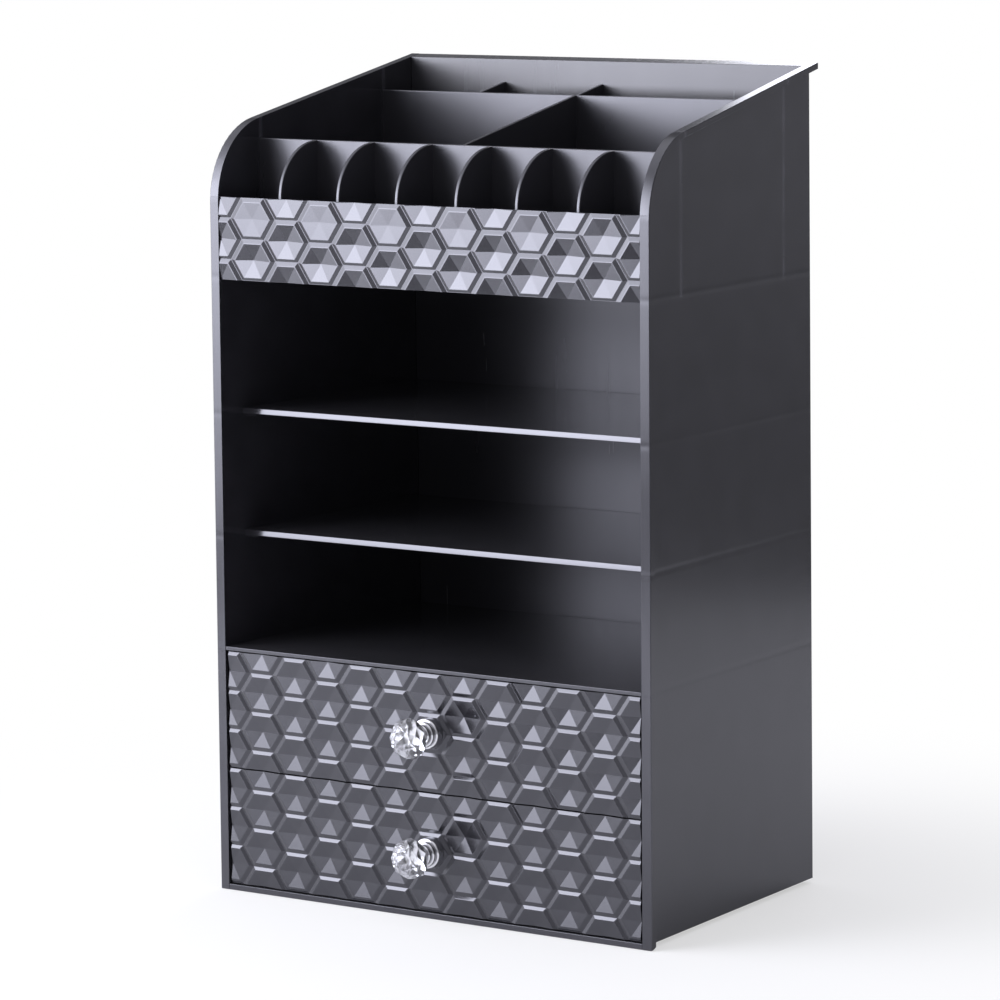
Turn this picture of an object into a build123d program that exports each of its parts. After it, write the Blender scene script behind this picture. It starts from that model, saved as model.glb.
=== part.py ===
from build123d import *
import os
from math import cos, sin, tan, radians, pi

os.makedirs("parts", exist_ok=True)

# Makeup storage box, all sizes in millimetres.
# X runs to the right, Y to the back, Z up. The front plane of the rails is y = 0
# while the pieces are made, and every piece is moved to the centre of the box at the end.

# Overall form
overall_width = 250.0
overall_height = 404.0
foot_depth = 164.4
back_lean = 0.7
side_taper = 2.0
wall = 2.5
fit = 0.1

# Side panels: front rail, sloped rim with its rounded shoulder, and the raised foot
rail_width = 5.0
rail_depth = 4.4
rim_thickness = 3.0
rim_slope = 11.0
rim_overhang_back = 4.8
shoulder_radius = 40.0
edge_round = 0.4
foot_drop = 2.2
toe_length = 1.6
toe_ramp = 6.4
seam_width = 0.5
seam_depth = 0.3

# Base and the two drawers
sill_height = 2.8
sill_depth = 4.0
base_thickness = 2.2
base_pad_size = 14.0
base_pad_inset = 10.0
drawer_height = 57.4
drawer_gap_below = 0.8
drawer_gap_between = 0.7
drawer_gap_above = 0.7
drawer_gap_side = 1.3
drawer_set_back = 0.4
tray_wall = 1.8
tray_side_clearance = 0.8
tray_length = 150.0
tray_headroom = 3.0
tray_corner = 4.0
run_clearance = 0.2
runner_width = 6.0
runner_thickness = 2.0

# Open bay with its floor, two shelves and the tray above it
bay_floor_thickness = 1.8
bay_low_share = 0.3047
bay_mid_share = 0.3280
shelf_thickness = 2.7
shelf_set_back = 16.0
shelf_front_lean = 8.0
shelf_edge_round = 0.25
ledge_set_back = 6.0
ledge_width = 4.0
ledge_thickness = 2.0
tray_floor_thickness = 2.4
back_thickness = 2.4

# Patterned panels: columns of six-sided cells with sunk six-facet pyramids
fascia_height = 40.0
panel_thickness = 2.8
cell_columns = 12
drawer_rows = 3
fascia_rows = 2
groove_depth = 0.75
pyramid_depth = 1.2
crest_inset_edge = 1.7
crest_inset_corner = 2.6
fascia_fit = 0.25

# Partitions and dividers of the top tray
slots = 7
front_partition_y = 32.8
front_partition_drop = 10.0
front_partition_thickness = 2.2
fin_rise = 26.5
rear_partition_y = 132.6
rear_partition_drop = 11.2
rear_partition_thickness = 2.2
divider_thickness = 1.8
rear_divider_count = 2
rear_pockets = 4

# Knobs
knob_ring_diameters = (14.8, 12.8, 10.8)
knob_ring_lengths = (3.2, 2.2, 1.9)
knob_groove_length = 0.3
knob_groove_step = 0.6
knob_ring_edge = 0.3
knob_cup_diameter = 9.2
knob_cup_length = 0.4
knob_seat_margin = 1.0
crystal_diameter = 20.0
crystal_sides = 16
crystal_table_diameter = 11.4
crystal_crown = 4.4
crystal_girdle = 1.3
crystal_back = 8.2
crystal_waist_diameter = 15.6
crystal_foot_diameter = 8.4
screw_diameter = 3.5
screw_head_diameter = 7.0
screw_head_height = 2.2
screw_reach = 5.0
screw_slot_width = 1.0
screw_slot_depth = 1.0
screw_hole_clearance = 0.5

# Places that follow from the sizes
opening = overall_width / 2 - rail_width
taper = tan(radians(side_taper))
lean = tan(radians(back_lean))
slope = tan(radians(rim_slope))
rim_back_y = foot_depth - lean * overall_height + rim_overhang_back


def inner_half(y):
    return opening - taper * y


def rear_y(z):
    return foot_depth - lean * z


def back_inner_y(z):
    return rear_y(z) - back_thickness


def rim_z(y):
    return overall_height - slope * (rim_back_y - y)


# Levels: the drawers are stacked on the base, the tray hangs below the rim, and the bays share the rest
lower_drawer_z = sill_height + drawer_gap_below
upper_drawer_z = lower_drawer_z + drawer_height + drawer_gap_between
bay_floor_z = upper_drawer_z + drawer_height + drawer_gap_above
partition_top_z = rim_z(front_partition_y) - front_partition_drop
fascia_top_z = partition_top_z - fin_rise
fascia_z = fascia_top_z - fascia_height
tray_top_z = fascia_z + tray_floor_thickness
bays_height = fascia_z - bay_floor_z - bay_floor_thickness - 2 * shelf_thickness
lower_shelf_z = bay_floor_z + bay_floor_thickness + bay_low_share * bays_height
upper_shelf_z = lower_shelf_z + shelf_thickness + bay_mid_share * bays_height
base_top_z = foot_drop + base_thickness
runner_top_z = upper_drawer_z + base_top_z - lower_drawer_z
tray_height = drawer_height - tray_headroom - (base_top_z - lower_drawer_z)
rings_length = sum(knob_ring_lengths) + 2 * knob_groove_length + knob_cup_length
knob_reach = rings_length + crystal_crown + crystal_girdle + crystal_back
centre_y = (foot_depth - knob_reach + drawer_set_back) / 2


def profile(points, rounded=()):
    # A flat face through the points, with the listed corners rounded.
    face = make_face(Polyline(*points, close=True))
    for x, y, radius in rounded:
        corner = face.vertices().sort_by(lambda v: abs(v.X - x) + abs(v.Y - y))[0]
        face = fillet(corner, radius)
    return face


def side_profile_x(points, x0, x1, rounded=()):
    # A profile drawn in y and z, made solid from x0 to x1.
    across = Plane(origin=(x0, 0, 0), x_dir=(0, 1, 0), z_dir=(1, 0, 0))
    return extrude(across * profile(points, rounded), x1 - x0)


def plate(y0, y1, z0, thickness, gap=fit):
    # A level plate that fills the box from side to side and follows the taper.
    a = inner_half(y0) - gap
    b = inner_half(y1) - gap
    return Pos(0, 0, z0) * extrude(profile([(-a, y0), (a, y0), (b, y1), (-b, y1)]), thickness)


def wall_plane():
    # The inner face of the right wall: first axis to the back, second axis up.
    t = radians(side_taper)
    return Plane(origin=(opening, 0, 0), x_dir=(-sin(t), cos(t), 0), z_dir=(cos(t), sin(t), 0))


def ledge(y0, y1, top, width, thickness):
    # A bar moulded on the inside of the right wall, to carry a plate or a drawer.
    middle = Pos((y0 + y1) / 2, top - thickness / 2, -width / 2)
    return wall_plane().location * middle * Box(y1 - y0, thickness, width)


def right_side_panel():
    toe = toe_length + toe_ramp
    top_front = rim_z(0)
    top_y = rear_y(rim_z(rear_y(overall_height)))
    wall_points = [(0, 0), (toe_length, 0), (toe, foot_drop), (rear_y(foot_drop), foot_drop),
                   (top_y, rim_z(top_y)), (0, top_front)]
    sheet = profile(wall_points, [(0, top_front, shoulder_radius)])
    under = rim_thickness / cos(radians(rim_slope))
    inner_corner = rim_z(rail_depth) - under
    ramp = foot_drop * (rail_depth - toe_length) / toe_ramp
    band_points = [(0, 0), (toe_length, 0), (rail_depth, ramp), (rail_depth, inner_corner),
                   (rim_back_y, rim_z(rim_back_y) - under), (rim_back_y, rim_z(rim_back_y)), (0, top_front)]
    band = profile(band_points, [(0, top_front, shoulder_radius),
                                 (rail_depth, inner_corner, shoulder_radius - rail_depth)])
    inside = wall_plane()
    proud = extrude(inside * band, rail_width)
    outer_face = proud.faces().sort_by(Axis((0, 0, 0), inside.z_dir))[-1]
    proud = fillet(outer_face.edges(), edge_round)
    panel = extrude(inside * sheet, wall) + proud
    panel -= Pos(opening, 0, fascia_top_z) * Box(3 * rail_width, 2 * seam_depth, seam_width)
    last = back_inner_y(fascia_z) - fit
    first = shelf_set_back + ledge_set_back
    ledges = [ledge(first, last, z, ledge_width, ledge_thickness) for z in (lower_shelf_z, upper_shelf_z)]
    ledges.append(ledge(panel_thickness + fit, last, fascia_z, ledge_width, ledge_thickness))
    ledges.append(ledge(rail_depth, last, bay_floor_z, ledge_width, ledge_thickness))
    ledges.append(ledge(rail_depth, last, runner_top_z, runner_width, runner_thickness))
    for bar in ledges:
        panel += bar
    return panel


def back_panel():
    # The leaning rear wall with its overhanging rim, cut to the taper of the box.
    top_y = rear_y(rim_z(rear_y(overall_height)))
    under = rim_thickness / cos(radians(rim_slope))
    points = [(back_inner_y(foot_drop), foot_drop), (rear_y(foot_drop), foot_drop),
              (rear_y(rim_z(top_y) - under), rim_z(top_y) - under),
              (rim_back_y, rim_z(rim_back_y) - under), (rim_back_y, rim_z(rim_back_y)),
              (back_inner_y(rim_z(top_y)), rim_z(back_inner_y(rim_z(top_y))))]
    sheet = side_profile_x(points, -opening, opening)
    return sheet & plate(shelf_set_back, foot_depth + rim_overhang_back, 0, overall_height)


def bottom_panel():
    # The floor of the box, with the sill in front and two pads that stand on the table.
    rear = back_inner_y(base_top_z) - fit
    base = plate(rail_depth, rear, foot_drop, base_thickness)
    base += plate(0, sill_depth, 0, sill_height)
    link_bottom = foot_drop
    base += plate(sill_depth - 1.0, rail_depth + 1.0, link_bottom, sill_height - link_bottom)
    pad_y = rear - base_pad_inset
    pad_x = inner_half(rear) - base_pad_inset
    for x in (-pad_x, pad_x):
        base += Pos(x, pad_y, foot_drop / 2) * Box(base_pad_size, base_pad_size, foot_drop)
    return base


def bay_floor():
    return plate(0, back_inner_y(bay_floor_z) - fit, bay_floor_z, bay_floor_thickness)


def shelf(z):
    # A shelf whose front edge leans back a little, with its corners softly rounded.
    front = shelf_set_back
    rear = back_inner_y(z) - fit
    top = z + shelf_thickness
    lean_back = shelf_thickness * tan(radians(shelf_front_lean))
    points = [(front, z), (rear, z), (rear, top), (front + lean_back, top)]
    board = side_profile_x(points, -opening, opening) & plate(0, rear, z, shelf_thickness)
    corners = board.edges().filter_by(Axis.X).filter_by_position(Axis.Y, front - 1, front + 1)
    return fillet(corners, shelf_edge_round)


def tray_floor():
    return plate(panel_thickness + fit, back_inner_y(fascia_z) - fit, fascia_z, tray_floor_thickness)


def cell_corners(half_wide, half_edge, half_high):
    return [(half_wide, 0), (half_edge, half_high), (-half_edge, half_high),
            (-half_wide, 0), (-half_edge, -half_high), (half_edge, -half_high)]


def solid_of(faces):
    return Solid(Shell([Face(Wire.make_polygon([Vector(*p) for p in face])) for face in faces]))


def patterned_panel(width, height, rows, odd_full):
    # A slab with raised six-sided cells, beveled toward V grooves, each cell with a sunk
    # six-facet pyramid. The outer faces are cut to a rectangle straight through the cells.
    pitch = width / cell_columns
    row = height / rows
    cell = cell_corners(pitch * 2 / 3, pitch / 3, row / 2)
    crest_wide = pitch * 2 / 3 - crest_inset_corner
    crest_high = row / 2 - crest_inset_edge
    crest_edge = crest_wide - (pitch / 3) * crest_high / (row / 2)
    crest = cell_corners(crest_wide, crest_edge, crest_high)
    foot_ring = [(x, groove_depth, z) for x, z in cell]
    crest_ring = [(x, 0, z) for x, z in crest]
    ring_pairs = [(k, (k + 1) % 6) for k in range(6)]
    bevels = [[foot_ring[i], foot_ring[j], crest_ring[j], crest_ring[i]] for i, j in ring_pairs]
    raised = solid_of(bevels + [crest_ring, foot_ring])
    centre = (0, pyramid_depth, 0)
    sunk = solid_of([[crest_ring[i], crest_ring[j], centre] for i, j in ring_pairs] + [crest_ring])
    places = []
    for column in range(cell_columns + 1):
        offset = 0.5 if (column % 2 == 1) == odd_full else 0.0
        count = rows if offset else rows + 1
        x = (column - cell_columns / 2) * pitch
        places += [Pos(x, 0, (n + offset) * row) for n in range(count)]
    slab = Pos(0, (groove_depth + panel_thickness) / 2, height / 2)
    slab = slab * Box(width, panel_thickness - groove_depth, height)
    block = Pos(0, panel_thickness / 2, height / 2) * Box(width, panel_thickness, height)
    panel = slab + [place * raised for place in places]
    panel = panel - [place * sunk for place in places]
    return panel & block


def fascia_panel():
    panel = patterned_panel(2 * (opening - fascia_fit), fascia_height, fascia_rows, True)
    return Pos(0, 0, fascia_z) * panel


def knob_axis(z):
    # Local axis of a knob: it starts at the panel's crest and points to the front.
    return Plane(origin=(0, drawer_set_back, z), x_dir=(1, 0, 0), z_dir=(0, -1, 0)).location


def drawer_front(z):
    # A patterned front with a flat seat and a screw hole for the knob.
    panel = patterned_panel(2 * (opening - drawer_gap_side), drawer_height, drawer_rows, False)
    panel = Pos(0, drawer_set_back, z) * panel
    middle = knob_axis(z + drawer_height / 2)
    seat_radius = knob_ring_diameters[0] / 2 + knob_seat_margin / 2
    panel += middle * Pos(0, 0, -panel_thickness / 2) * Cylinder(seat_radius, panel_thickness)
    hole_radius = (screw_diameter + screw_hole_clearance) / 2
    return panel - middle * Cylinder(hole_radius, 4 * panel_thickness)


def drawer_tray(z):
    # An open tray whose sides follow the taper of the box.
    y0 = drawer_set_back + panel_thickness
    y1 = y0 + tray_length
    bottom = z + base_top_z - lower_drawer_z + run_clearance
    a = inner_half(y0) - tray_side_clearance
    b = inner_half(y1) - tray_side_clearance
    outline = profile([(-a, y0), (a, y0), (b, y1), (-b, y1)],
                      [(-b, y1, tray_corner), (b, y1, tray_corner)])
    hollow_corner = tray_corner - tray_wall
    c = inner_half(y0 + tray_wall) - tray_side_clearance - tray_wall
    d = inner_half(y1 - tray_wall) - tray_side_clearance - tray_wall
    hollow = profile([(-c, y0 + tray_wall), (c, y0 + tray_wall), (d, y1 - tray_wall), (-d, y1 - tray_wall)],
                     [(-c, y0 + tray_wall, hollow_corner), (c, y0 + tray_wall, hollow_corner),
                      (-d, y1 - tray_wall, hollow_corner), (d, y1 - tray_wall, hollow_corner)])
    tray = Pos(0, 0, bottom) * extrude(outline, tray_height)
    tray -= Pos(0, 0, bottom + tray_wall) * extrude(hollow, tray_height)
    tray = chamfer(tray.edges().group_by(Axis.Z)[-1], edge_round)
    hole_radius = (screw_diameter + screw_hole_clearance) / 2
    reach = panel_thickness + 2 * tray_wall
    return tray - knob_axis(z + drawer_height / 2) * Pos(0, 0, -reach / 2) * Cylinder(hole_radius, reach + 1)


def upright(y0, thickness, top):
    # A partition across the tray, with the long edges of its top rounded.
    board = plate(y0, y0 + thickness, tray_top_z, top - tray_top_z)
    return fillet(board.edges().filter_by(Axis.X).group_by(Axis.Z)[-1], edge_round)


def front_partition():
    return upright(front_partition_y, front_partition_thickness, partition_top_z)


def rear_partition():
    top = rim_z(rear_partition_y + rear_partition_thickness) - rear_partition_drop
    return upright(rear_partition_y, rear_partition_thickness, top)


def lipstick_divider(x):
    # A fin that rises in a quarter ellipse from the fascia to the top of the partition.
    y0 = panel_thickness
    y1 = front_partition_y
    curve = EllipticalCenterArc((y1, fascia_top_z), y1 - y0, fin_rise, start_angle=90, arc_size=90)
    rest = Polyline((y0, fascia_top_z), (y0, tray_top_z), (y1, tray_top_z), (y1, partition_top_z))
    fin = make_face([curve, rest])
    across = Plane(origin=(x - divider_thickness / 2, 0, 0), x_dir=(0, 1, 0), z_dir=(1, 0, 0))
    return extrude(across * fin, divider_thickness)


def mid_divider():
    y0 = front_partition_y + front_partition_thickness
    y1 = rear_partition_y
    rear_top = rim_z(y1 + rear_partition_thickness) - rear_partition_drop
    points = [(y0, tray_top_z), (y1, tray_top_z), (y1, rear_top), (y0, partition_top_z)]
    return side_profile_x(points, -divider_thickness / 2, divider_thickness / 2)


def rear_divider(x):
    # A small upright whose top runs parallel to the sloped rim, up to the rear wall.
    y0 = rear_partition_y + rear_partition_thickness
    top = rim_z(y0) - rear_partition_drop
    rear_top = rim_z(back_inner_y(top)) - rear_partition_drop
    points = [(y0, tray_top_z), (back_inner_y(tray_top_z) - fit, tray_top_z),
              (back_inner_y(rear_top) - fit, rear_top), (y0, top)]
    return side_profile_x(points, x - divider_thickness / 2, x + divider_thickness / 2)


def knob_base(z):
    # Three stepped rings with grooves between them, and a cup for the crystal.
    points = [(0, 0)]
    height = 0.0
    for n, (diameter, length) in enumerate(zip(knob_ring_diameters, knob_ring_lengths)):
        radius = diameter / 2
        bevel = knob_ring_edge if n else 0.0
        if n:
            points.append((radius - bevel, height))
        points.append((radius, height + bevel))
        height += length
        points += [(radius, height - knob_ring_edge), (radius - knob_ring_edge, height)]
        if n < 2:
            neck = knob_ring_diameters[n + 1] / 2 - knob_groove_step
            points += [(neck, height), (neck, height + knob_groove_length)]
            height += knob_groove_length
    points += [(knob_cup_diameter / 2, height), (knob_cup_diameter / 2, height + knob_cup_length),
               (0, height + knob_cup_length)]
    turned = revolve(Plane.XZ * profile(points), Axis.Z)
    bore = Cylinder(screw_diameter / 2 + fit, screw_reach, align=(Align.CENTER, Align.CENTER, Align.MIN))
    return knob_axis(z) * (turned - bore)


def crystal_ring(diameter, height, turn):
    step = 2 * pi / crystal_sides
    return [(diameter / 2 * cos((n + turn) * step), diameter / 2 * sin((n + turn) * step), height)
            for n in range(crystal_sides)]


def knob_crystal(z):
    # A cut crystal: rings of corners, each turned by half a step, joined by flat facets.
    foot = crystal_ring(crystal_foot_diameter, 0, 0.0)
    waist = crystal_ring(crystal_waist_diameter, crystal_back * 0.55, 0.5)
    girdle_low = crystal_ring(crystal_diameter, crystal_back, 0.0)
    girdle_high = crystal_ring(crystal_diameter, crystal_back + crystal_girdle, 0.0)
    crown_top = crystal_back + crystal_girdle + crystal_crown
    crown_diameter = (crystal_diameter + crystal_table_diameter) / 2 + 1.0
    crown = crystal_ring(crown_diameter, crown_top - crystal_crown * 0.45, 0.5)
    table = crystal_ring(crystal_table_diameter, crown_top, 0.0)
    faces = [foot[::-1], table]
    rings = [(foot, waist, 0), (waist, girdle_low, 1), (girdle_high, crown, 0), (crown, table, 1)]
    for low, high, ahead in rings:
        for n in range(crystal_sides):
            m = (n + 1) % crystal_sides
            if ahead:
                faces += [[low[n], high[m], high[n]], [low[n], low[m], high[m]]]
            else:
                faces += [[low[n], low[m], high[n]], [low[m], high[m], high[n]]]
    for n in range(crystal_sides):
        m = (n + 1) % crystal_sides
        faces.append([girdle_low[n], girdle_low[m], girdle_high[m], girdle_high[n]])
    return knob_axis(z) * Pos(0, 0, rings_length) * solid_of(faces)


def knob_screw(z):
    # A slotted screw from inside the drawer, through both fronts into the base.
    head_face = panel_thickness + tray_wall
    shank_length = head_face + screw_reach - fit
    down = Pos(0, 0, -head_face)
    shank = down * Cylinder(screw_diameter / 2, shank_length, align=(Align.CENTER, Align.CENTER, Align.MIN))
    head = down * Cylinder(screw_head_diameter / 2, screw_head_height, align=(Align.CENTER, Align.CENTER, Align.MAX))
    head = chamfer(head.edges().group_by(Axis.Z)[0], screw_head_height * 0.4)
    slot = Pos(0, 0, -head_face - screw_head_height) * Box(screw_head_diameter, screw_slot_width, 2 * screw_slot_depth)
    return knob_axis(z) * (shank + head - slot)


pieces = {}
pieces["right_side_panel"] = right_side_panel()
pieces["left_side_panel"] = mirror(pieces["right_side_panel"], about=Plane.YZ)
pieces["back_panel"] = back_panel()
pieces["bottom_panel"] = bottom_panel()
pieces["bay_floor"] = bay_floor()
pieces["lower_shelf"] = shelf(lower_shelf_z)
pieces["upper_shelf"] = shelf(upper_shelf_z)
pieces["tray_floor"] = tray_floor()
pieces["fascia_panel"] = fascia_panel()
pieces["front_partition"] = front_partition()
pieces["rear_partition"] = rear_partition()
slot_pitch = 2 * inner_half(front_partition_y) / slots
for n in range(slots - 1):
    pieces[f"lipstick_divider_{n + 1}"] = lipstick_divider((n - (slots - 2) / 2) * slot_pitch)
pieces["mid_divider"] = mid_divider()
pocket_width = 2 * inner_half(rear_partition_y) / rear_pockets
for n in range(rear_divider_count):
    pieces[f"rear_divider_{n + 1}"] = rear_divider((n - 1) * pocket_width)
for name, z in (("lower_drawer", lower_drawer_z), ("upper_drawer", upper_drawer_z)):
    pieces[f"{name}_front"] = drawer_front(z)
    pieces[f"{name}_tray"] = drawer_tray(z)
    pieces[f"{name}_knob_base"] = knob_base(z + drawer_height / 2)
    pieces[f"{name}_knob_crystal"] = knob_crystal(z + drawer_height / 2)
    pieces[f"{name}_knob_screw"] = knob_screw(z + drawer_height / 2)

for name, piece in pieces.items():
    solid = Pos(0, -centre_y, 0) * piece
    solid.label = name
    export_step(solid, f"parts/{name}.step")
    box = solid.bounding_box()
    print(name, len(solid.solids()), "solid", [round(v, 1) for v in (*box.min, *box.max)])
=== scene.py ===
from math import radians, sin, cos, tan, pi

import bmesh
import bpy
from mathutils import Matrix, Vector


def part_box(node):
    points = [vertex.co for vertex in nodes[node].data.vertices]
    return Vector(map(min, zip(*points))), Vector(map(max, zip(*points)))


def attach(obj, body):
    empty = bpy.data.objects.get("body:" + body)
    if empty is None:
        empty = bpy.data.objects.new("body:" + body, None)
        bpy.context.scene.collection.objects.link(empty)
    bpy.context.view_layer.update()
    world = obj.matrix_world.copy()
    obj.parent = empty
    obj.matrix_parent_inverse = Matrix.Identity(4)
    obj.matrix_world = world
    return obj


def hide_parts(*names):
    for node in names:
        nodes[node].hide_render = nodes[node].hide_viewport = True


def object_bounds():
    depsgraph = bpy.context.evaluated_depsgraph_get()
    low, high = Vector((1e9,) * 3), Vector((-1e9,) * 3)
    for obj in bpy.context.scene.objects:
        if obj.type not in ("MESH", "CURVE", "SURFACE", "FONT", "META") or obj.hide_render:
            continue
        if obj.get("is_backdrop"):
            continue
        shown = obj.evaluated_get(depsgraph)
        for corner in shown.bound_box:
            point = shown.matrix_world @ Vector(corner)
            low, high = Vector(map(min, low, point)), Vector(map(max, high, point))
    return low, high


# %% [markdown]
# # A makeup storage box
# This box stands on a vanity. On top is a sloped tray with pockets, under it an open bay with two
# shelves, and at the bottom two drawers with a faceted relief and cut-crystal knobs. The
# engineering model is loaded first as a fixed frame. Everything here is placed in that same
# frame, in metres, so a piece never has to be fitted afterwards.

# %% Load the frame
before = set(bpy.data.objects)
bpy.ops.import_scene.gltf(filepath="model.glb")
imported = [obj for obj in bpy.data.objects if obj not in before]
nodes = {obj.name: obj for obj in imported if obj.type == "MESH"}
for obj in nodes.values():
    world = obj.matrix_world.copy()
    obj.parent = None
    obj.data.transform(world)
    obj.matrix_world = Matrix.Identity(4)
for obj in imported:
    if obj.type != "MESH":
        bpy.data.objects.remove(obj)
cad_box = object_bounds()
MM = 0.001
NEAR, VERY_NEAR = 0.01 * MM, 0.001 * MM
front_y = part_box("fascia_panel")[0].y
print("frame:", len(nodes), "nodes, box", [round(c, 4) for c in (*cad_box[0], *cad_box[1])])

# %% [markdown]
# The camera stands more than two metres away with a long lens, 34 degrees round to the right of
# the box and a little above it. It could be aimed with a constraint, but a fixed matrix also
# keeps the small roll of the view, so its three axes are written from the azimuth, the elevation
# and the roll.

# %% Camera
AZIMUTH, ELEVATION, ROLL = radians(33.72), radians(8.14), radians(-0.47)
LENS, SENSOR = 166.83, 36.0
CAMERA_PLACE = (1.23391, -1.85647, 0.51276)
camera_data = bpy.data.cameras.new("camera")
camera_data.lens = LENS
camera_data.sensor_width = SENSOR
camera_data.clip_end = 100.0
camera = bpy.data.objects.new("camera", camera_data)
bpy.context.scene.collection.objects.link(camera)
back = Vector((sin(AZIMUTH) * cos(ELEVATION), -cos(AZIMUTH) * cos(ELEVATION), sin(ELEVATION)))
right = Vector((cos(AZIMUTH), sin(AZIMUTH), 0.0))
up = back.cross(right)
axis_x = cos(ROLL) * right + sin(ROLL) * up
axis_y = -sin(ROLL) * right + cos(ROLL) * up
turn = Matrix((axis_x, axis_y, back)).transposed().to_4x4()
camera.matrix_world = Matrix.Translation(CAMERA_PLACE) @ turn
bpy.context.scene.camera = camera
bpy.context.scene.view_settings.view_transform = 'Standard'
print("camera at", [round(c, 3) for c in camera.location], "lens", camera_data.lens)

# %% [markdown]
# Nodes are made by many cells below, so a few small helpers come first. One feeds a socket with
# a value or a link, and one makes a node with its inputs and properties. The others split a
# vector, scale a colour, do one sum and make a soft step between two values. The same could be
# clicked together in the Shader Editor.


# %% Node helpers
def feed(tree, socket, value):
    # An output of another node is linked, and anything else is set as the value.
    if isinstance(value, bpy.types.NodeSocket):
        tree.links.new(value, socket)
    else:
        socket.default_value = value


def node(tree, kind, **settings):
    made = tree.nodes.new(kind)
    for name, value in settings.items():
        if name in made.inputs:
            feed(tree, made.inputs[name], value)
        else:
            setattr(made, name, value)
    return made


def split(tree, vector):
    return node(tree, "ShaderNodeSeparateXYZ", Vector=vector).outputs


def scaled(tree, colour, amount):
    made = node(tree, "ShaderNodeVectorMath", operation='SCALE', Scale=amount)
    made.inputs[0].default_value = colour
    return made.outputs[0]


def math_node(tree, operation, *values, clamp=False):
    made = node(tree, "ShaderNodeMath", operation=operation, use_clamp=clamp)
    for slot, value in enumerate(values):
        feed(tree, made.inputs[slot], value)
    return made.outputs[0]


def smooth_step(tree, value, low, high):
    # 0 at low, 1 at high, smooth between them; low may be above high.
    made = node(tree, "ShaderNodeMapRange", interpolation_type='SMOOTHSTEP', Value=value)
    made.inputs["From Min"].default_value = min(low, high)
    made.inputs["From Max"].default_value = max(low, high)
    if low > high:
        made.inputs["To Min"].default_value, made.inputs["To Max"].default_value = 1.0, 0.0
    return made.outputs[0]


# %% [markdown]
# Black plastic shows its surroundings more than its own colour, so the studio is what it
# mirrors: a quiet grey room, darker behind the box at the right, and lighter overhead and in
# front. Low behind the box it has a few bands of their own lightness, which the right-hand wall
# mirrors. It is written into the world by direction, without a picture. The camera itself sees
# plain white instead.

# %% World
ROOM, ROOM_TOP, FRONT_FILL, DARK_RIGHT = 0.34, 0.8, 0.45, 0.8
REAR_BANDS = ((-0.14, 0.21), (-0.11, 0.24), (-0.07, 0.40), (0.0, 0.38), (0.08, 0.20))
ROOM_TINT, WHITE = (0.96, 0.96, 1.04), (1.0, 1.0, 1.0, 1.0)
world = bpy.data.worlds.new("studio")
bpy.context.scene.world = world
world.use_nodes = True
sky = world.node_tree
sky.nodes.clear()
way = split(sky, node(sky, "ShaderNodeTexCoord").outputs["Generated"])
rear_side = math_node(sky, 'ADD', math_node(sky, 'MULTIPLY', way["X"], 0.5),
                      math_node(sky, 'MULTIPLY', way["Y"], 0.85))
rear_level = REAR_BANDS[0][1]
for (low, before), (high, after) in zip(REAR_BANDS, REAR_BANDS[1:]):
    rise = smooth_step(sky, way["Z"], low, high)
    rear_level = math_node(sky, 'MULTIPLY_ADD', rise, after - before, rear_level)
rear_share = smooth_step(sky, rear_side, 0.2, 0.8)
change = math_node(sky, 'SUBTRACT', rear_level, ROOM)
total = math_node(sky, 'MULTIPLY_ADD', rear_share, change, ROOM)
dark = math_node(sky, 'MULTIPLY', smooth_step(sky, rear_side, 0.1, 0.35),
                 smooth_step(sky, way["Z"], 0.2, 0.45))
total = math_node(sky, 'MULTIPLY', total, math_node(sky, 'MULTIPLY_ADD', dark, -DARK_RIGHT, 1.0))
front = math_node(sky, 'MULTIPLY', smooth_step(sky, way["Y"], -0.7, -0.92),
                  smooth_step(sky, way["Z"], 0.05, 0.28))
total = math_node(sky, 'MULTIPLY_ADD', front, FRONT_FILL, total)
overhead = smooth_step(sky, way["Z"], 0.55, 0.95)
total = math_node(sky, 'MULTIPLY_ADD', overhead, ROOM_TOP, total)
seen = node(sky, "ShaderNodeMix", data_type='RGBA')
seen_by_camera = node(sky, "ShaderNodeLightPath").outputs["Is Camera Ray"]
for slot, value in ((0, seen_by_camera), (6, scaled(sky, ROOM_TINT, total)), (7, WHITE)):
    feed(sky, seen.inputs[slot], value)
background = node(sky, "ShaderNodeBackground", Color=seen.outputs[2])
node(sky, "ShaderNodeOutputWorld", Surface=background.outputs[0])
print("world:", len(sky.nodes), "nodes, room", ROOM)

# %% [markdown]
# Two soft boxes make the gloss. The large one stands at the front left, about a metre and a half
# away, and its glow fades softly towards its edges, which is what rounds the light on the front
# rails and on the facets. The second one stands behind the box and lights only the sloped rims
# and the rear edges. A plain area lamp would mirror as a hard rectangle, so the glow is written
# over the lamp's own surface instead.

# %% Soft boxes
LAMP_TINT = (0.95, 0.96, 1.06)


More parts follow.
